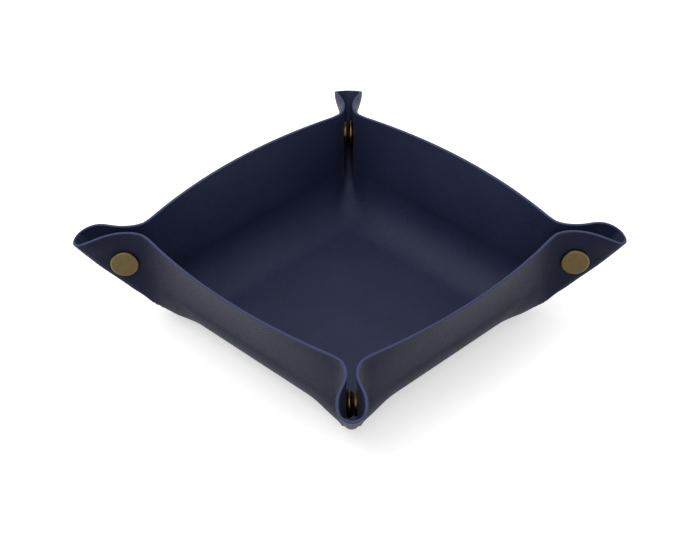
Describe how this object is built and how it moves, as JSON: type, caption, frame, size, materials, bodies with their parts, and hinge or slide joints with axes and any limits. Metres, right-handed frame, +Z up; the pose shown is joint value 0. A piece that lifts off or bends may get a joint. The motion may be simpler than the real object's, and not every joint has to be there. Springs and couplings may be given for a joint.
{
  "type": "valet tray",
  "caption": "Square catch-all tray folded from one leather sheet, its pinched corners held up by brass spring snaps.",
  "frame": {"origin": "middle of the floor panel's underside, on the surface the tray stands on", "axes": "+Z up, +Y towards the back wall, +X towards the right wall; the pinched corners lie on the diagonals"},
  "size_m": [0.17, 0.17, 0.0456],
  "materials": {
    "leather": "navy, fine pebble grain, low sheen",
    "brass": "antique brass, darkened, lightly polished on the raised parts",
    "spring_wire": "dark drawn wire"
  },
  "bodies": {
    "floor": {"floor_panel": "leather"},
    "back_bend": {"back_bend": "leather"},
    "back_wall": {"back_wall": "leather"},
    "back_leaf_right": {"back_leaf_right": "leather", "socket_cap_back_right": "brass", "socket_back_right": "brass", "spring_back_right": "spring_wire"},
    "back_ear_right": {"back_ear_right": "leather"},
    "back_leaf_left": {"back_leaf_left": "leather", "socket_cap_back_left": "brass", "socket_back_left": "brass", "spring_back_left": "spring_wire"},
    "back_ear_left": {"back_ear_left": "leather"},
    "left_bend": {"left_bend": "leather"},
    "left_wall": {"left_wall": "leather"},
    "left_leaf_right": {"left_leaf_right": "leather", "stud_cap_back_left": "brass", "stud_back_left": "brass"},
    "left_ear_right": {"left_ear_right": "leather"},
    "left_leaf_left": {"left_leaf_left": "leather", "stud_cap_front_left": "brass", "stud_front_left": "brass"},
    "left_ear_left": {"left_ear_left": "leather"},
    "front_bend": {"front_bend": "leather"},
    "front_wall": {"front_wall": "leather"},
    "front_leaf_right": {"front_leaf_right": "leather", "socket_cap_front_left": "brass", "socket_front_left": "brass", "spring_front_left": "spring_wire"},
    "front_ear_right": {"front_ear_right": "leather"},
    "front_leaf_left": {"front_leaf_left": "leather", "socket_cap_front_right": "brass", "socket_front_right": "brass", "spring_front_right": "spring_wire"},
    "front_ear_left": {"front_ear_left": "leather"},
    "right_bend": {"right_bend": "leather"},
    "right_wall": {"right_wall": "leather"},
    "right_leaf_right": {"right_leaf_right": "leather", "stud_cap_front_right": "brass", "stud_front_right": "brass"},
    "right_ear_right": {"right_ear_right": "leather"},
    "right_leaf_left": {"right_leaf_left": "leather", "stud_cap_back_right": "brass", "stud_back_right": "brass"},
    "right_ear_left": {"right_ear_left": "leather"}
  },
  "joints": [
    {"name": "back_bend_fold", "type": "hinge", "parent": "floor", "child": "back_bend", "pos_m": [0, 0.049, 0], "axis": [-1, 0, 0], "range_deg": [0, 38]},
    {"name": "back_wall_fold", "type": "hinge", "parent": "back_bend", "child": "back_wall", "pos_m": [0, 0.06089, 0.01071], "axis": [-1, 0, 0], "range_deg": [0, 42]},
    {"name": "back_leaf_right_fold", "type": "hinge", "parent": "back_wall", "child": "back_leaf_right", "pos_m": [0.0584, 0.06144, 0.02834], "axis": [-0.104, -0.104, -0.9891], "range_deg": [0, 45.31]},
    {"name": "back_ear_right_fold", "type": "hinge", "parent": "back_leaf_right", "child": "back_ear_right", "pos_m": [0.0629, 0.06778, 0.01684], "axis": [0.5212, 0.5212, 0.6758], "range_deg": [0, 90]},
    {"name": "back_leaf_left_fold", "type": "hinge", "parent": "back_wall", "child": "back_leaf_left", "pos_m": [-0.0584, 0.06144, 0.02834], "axis": [-0.104, 0.104, 0.9891], "range_deg": [0, 45.31]},
    {"name": "back_ear_left_fold", "type": "hinge", "parent": "back_leaf_left", "child": "back_ear_left", "pos_m": [-0.0629, 0.06778, 0.01684], "axis": [0.5212, -0.5212, -0.6758], "range_deg": [0, 90]},
    {"name": "left_bend_fold", "type": "hinge", "parent": "floor", "child": "left_bend", "pos_m": [-0.049, 0, 0], "axis": [0, -1, 0], "range_deg": [0, 38]},
    {"name": "left_wall_fold", "type": "hinge", "parent": "left_bend", "child": "left_wall", "pos_m": [-0.06089, 0, 0.01071], "axis": [0, -1, 0], "range_deg": [0, 42]},
    {"name": "left_leaf_right_fold", "type": "hinge", "parent": "left_wall", "child": "left_leaf_right", "pos_m": [-0.06144, 0.0584, 0.02834], "axis": [0.104, -0.104, -0.9891], "range_deg": [0, 45.31]},
    {"name": "left_ear_right_fold", "type": "hinge", "parent": "left_leaf_right", "child": "left_ear_right", "pos_m": [-0.06778, 0.0629, 0.01684], "axis": [-0.5212, 0.5212, 0.6758], "range_deg": [0, 90]},
    {"name": "left_leaf_left_fold", "type": "hinge", "parent": "left_wall", "child": "left_leaf_left", "pos_m": [-0.06144, -0.0584, 0.02834], "axis": [-0.104, -0.104, 0.9891], "range_deg": [0, 45.31]},
    {"name": "left_ear_left_fold", "type": "hinge", "parent": "left_leaf_left", "child": "left_ear_left", "pos_m": [-0.06778, -0.0629, 0.01684], "axis": [0.5212, 0.5212, -0.6758], "range_deg": [0, 90]},
    {"name": "front_bend_fold", "type": "hinge", "parent": "floor", "child": "front_bend", "pos_m": [0, -0.049, 0], "axis": [1, 0, 0], "range_deg": [0, 38]},
    {"name": "front_wall_fold", "type": "hinge", "parent": "front_bend", "child": "front_wall", "pos_m": [0, -0.06089, 0.01071], "axis": [1, 0, 0], "range_deg": [0, 42]},
    {"name": "front_leaf_right_fold", "type": "hinge", "parent": "front_wall", "child": "front_leaf_right", "pos_m": [-0.0584, -0.06144, 0.02834], "axis": [0.104, 0.104, -0.9891], "range_deg": [0, 45.31]},
    {"name": "front_ear_right_fold", "type": "hinge", "parent": "front_leaf_right", "child": "front_ear_right", "pos_m": [-0.0629, -0.06778, 0.01684], "axis": [-0.5212, -0.5212, 0.6758], "range_deg": [0, 90]},
    {"name": "front_leaf_left_fold", "type": "hinge", "parent": "front_wall", "child": "front_leaf_left", "pos_m": [0.0584, -0.06144, 0.02834], "axis": [0.104, -0.104, 0.9891], "range_deg": [0, 45.31]},
    {"name": "front_ear_left_fold", "type": "hinge", "parent": "front_leaf_left", "child": "front_ear_left", "pos_m": [0.0629, -0.06778, 0.01684], "axis": [-0.5212, 0.5212, -0.6758], "range_deg": [0, 90]},
    {"name": "right_bend_fold", "type": "hinge", "parent": "floor", "child": "right_bend", "pos_m": [0.049, 0, 0], "axis": [0, 1, 0], "range_deg": [0, 38]},
    {"name": "right_wall_fold", "type": "hinge", "parent": "right_bend", "child": "right_wall", "pos_m": [0.06089, 0, 0.01071], "axis": [0, 1, 0], "range_deg": [0, 42]},
    {"name": "right_leaf_right_fold", "type": "hinge", "parent": "right_wall", "child": "right_leaf_right", "pos_m": [0.06144, -0.0584, 0.02834], "axis": [-0.104, 0.104, -0.9891], "range_deg": [0, 45.31]},
    {"name": "right_ear_right_fold", "type": "hinge", "parent": "right_leaf_right", "child": "right_ear_right", "pos_m": [0.06778, -0.0629, 0.01684], "axis": [0.5212, -0.5212, 0.6758], "range_deg": [0, 90]},
    {"name": "right_leaf_left_fold", "type": "hinge", "parent": "right_wall", "child": "right_leaf_left", "pos_m": [0.06144, 0.0584, 0.02834], "axis": [0.104, 0.104, 0.9891], "range_deg": [0, 45.31]},
    {"name": "right_ear_left_fold", "type": "hinge", "parent": "right_leaf_left", "child": "right_ear_left", "pos_m": [0.06778, 0.0629, 0.01684], "axis": [-0.5212, -0.5212, -0.6758], "range_deg": [0, 90]}
  ],
  "couplings": [
    {"joint": "back_wall_fold", "follows": "back_bend_fold", "ratio": 1.1053},
    {"joint": "back_leaf_right_fold", "follows": "back_bend_fold", "ratio": 1.1924},
    {"joint": "back_ear_right_fold", "follows": "back_bend_fold", "ratio": 2.3684},
    {"joint": "back_leaf_left_fold", "follows": "back_bend_fold", "ratio": 1.1924},
    {"joint": "back_ear_left_fold", "follows": "back_bend_fold", "ratio": 2.3684},
    {"joint": "left_bend_fold", "follows": "back_bend_fold", "ratio": 1},
    {"joint": "left_wall_fold", "follows": "back_bend_fold", "ratio": 1.1053},
    {"joint": "left_leaf_right_fold", "follows": "back_bend_fold", "ratio": 1.1924},
    {"joint": "left_ear_right_fold", "follows": "back_bend_fold", "ratio": 2.3684},
    {"joint": "left_leaf_left_fold", "follows": "back_bend_fold", "ratio": 1.1924},
    {"joint": "left_ear_left_fold", "follows": "back_bend_fold", "ratio": 2.3684},
    {"joint": "front_bend_fold", "follows": "back_bend_fold", "ratio": 1},
    {"joint": "front_wall_fold", "follows": "back_bend_fold", "ratio": 1.1053},
    {"joint": "front_leaf_right_fold", "follows": "back_bend_fold", "ratio": 1.1924},
    {"joint": "front_ear_right_fold", "follows": "back_bend_fold", "ratio": 2.3684},
    {"joint": "front_leaf_left_fold", "follows": "back_bend_fold", "ratio": 1.1924},
    {"joint": "front_ear_left_fold", "follows": "back_bend_fold", "ratio": 2.3684},
    {"joint": "right_bend_fold", "follows": "back_bend_fold", "ratio": 1},
    {"joint": "right_wall_fold", "follows": "back_bend_fold", "ratio": 1.1053},
    {"joint": "right_leaf_right_fold", "follows": "back_bend_fold", "ratio": 1.1924},
    {"joint": "right_ear_right_fold", "follows": "back_bend_fold", "ratio": 2.3684},
    {"joint": "right_leaf_left_fold", "follows": "back_bend_fold", "ratio": 1.1924},
    {"joint": "right_ear_left_fold", "follows": "back_bend_fold", "ratio": 2.3684}
  ]
}
